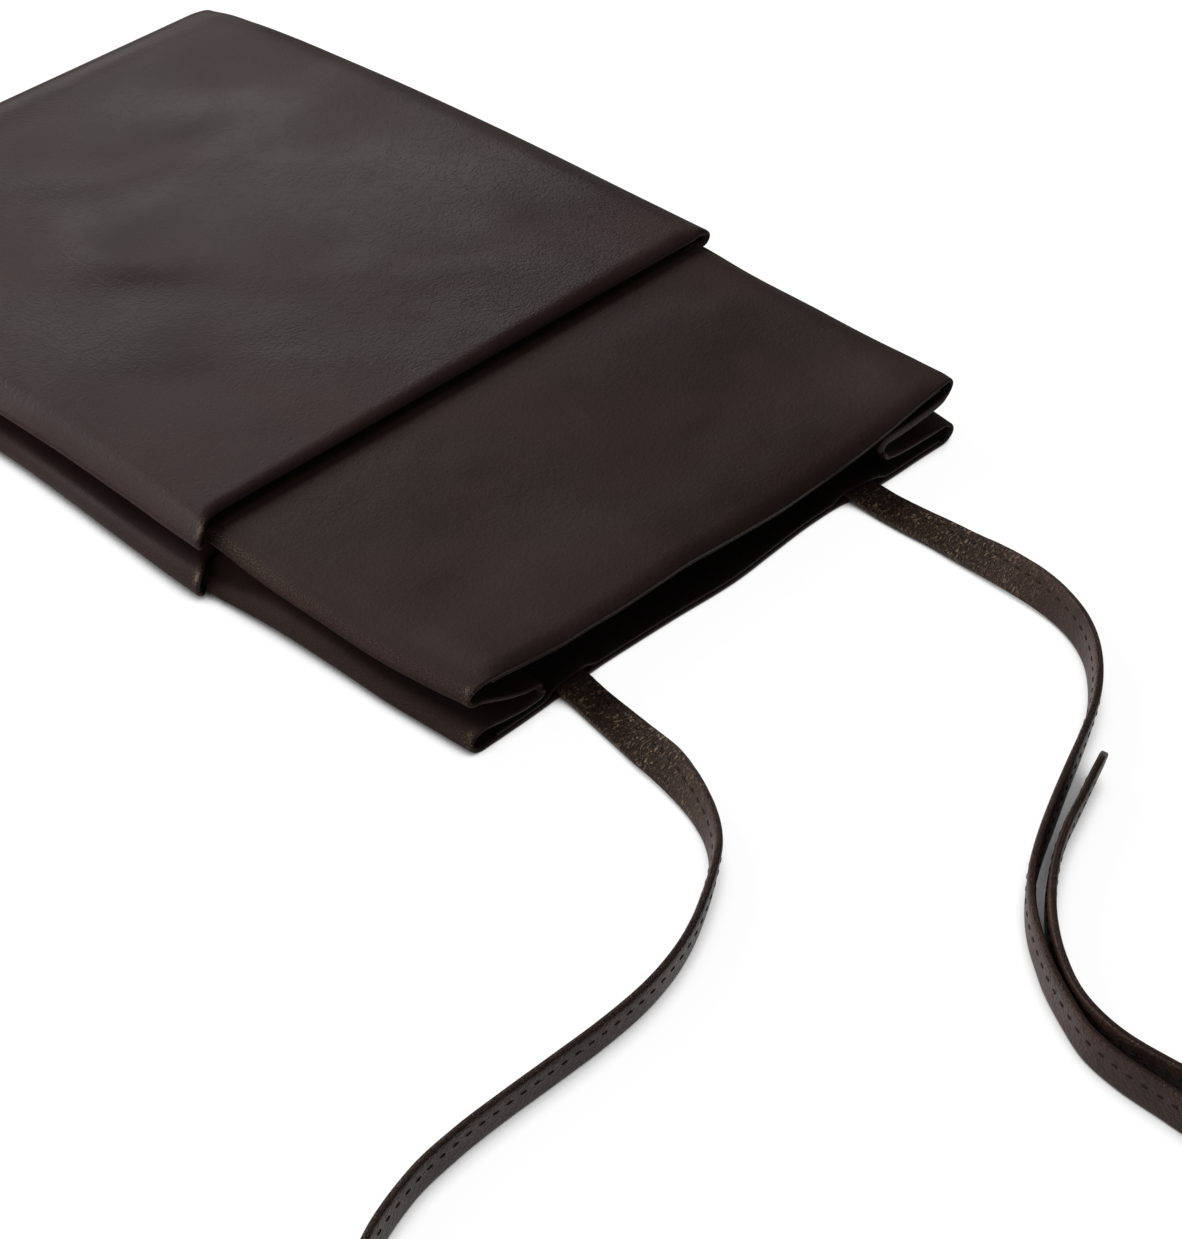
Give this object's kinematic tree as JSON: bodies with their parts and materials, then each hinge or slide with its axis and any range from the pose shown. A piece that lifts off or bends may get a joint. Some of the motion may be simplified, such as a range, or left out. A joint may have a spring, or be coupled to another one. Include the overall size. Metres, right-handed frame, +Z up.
{
  "type": "book pouch",
  "caption": "Soft leather book pouch lying closed, with in-folded side gussets, a wide body tucked over a narrower open mouth section, and flat tie straps at the mouth.",
  "frame": {"origin": "on the table under the middle of the pouch, straps left out", "axes": "+Y along the pouch from the mouth to the closed end, +X across it to the right seen from the mouth with the front panel up, +Z up from the table"},
  "size_m": [0.373, 0.5608, 0.0188],
  "materials": {
    "body_leather": "soft satin with a fine pebble grain and worn edges",
    "mouth_leather": "soft satin, darker, with a dark hem band at the mouth",
    "gusset_leather": "matt with a worn outer fold",
    "facing_leather": "matt",
    "strap_leather": "satin, crinkled grain, one row of dark stitches"
  },
  "bodies": {
    "back": {"back_body_panel": "body_leather", "back_mouth_panel": "mouth_leather", "back_mouth_facing": "facing_leather", "closed_end_seam": "facing_leather", "left_body_gusset_upper": "gusset_leather", "left_body_gusset_lower": "gusset_leather", "left_mouth_gusset_upper": "gusset_leather", "left_mouth_gusset_lower": "gusset_leather", "right_body_gusset_upper": "gusset_leather", "right_body_gusset_lower": "gusset_leather", "right_mouth_gusset_upper": "gusset_leather", "right_mouth_gusset_lower": "gusset_leather", "left_strap": "strap_leather", "right_strap": "strap_leather"},
    "front": {"front_body_panel": "body_leather", "front_mouth_panel": "mouth_leather", "front_mouth_facing": "facing_leather"}
  },
  "joints": [
    {"name": "mouth_open", "type": "hinge", "parent": "back", "child": "front", "pos_m": [0, 0.14275, 0.0041], "axis": [-1, 0, 0], "range_deg": [0, 6.5], "deforming": ["left_body_gusset_upper", "left_body_gusset_lower", "left_mouth_gusset_upper", "left_mouth_gusset_lower", "right_body_gusset_upper", "right_body_gusset_lower", "right_mouth_gusset_upper", "right_mouth_gusset_lower"]}
  ]
}
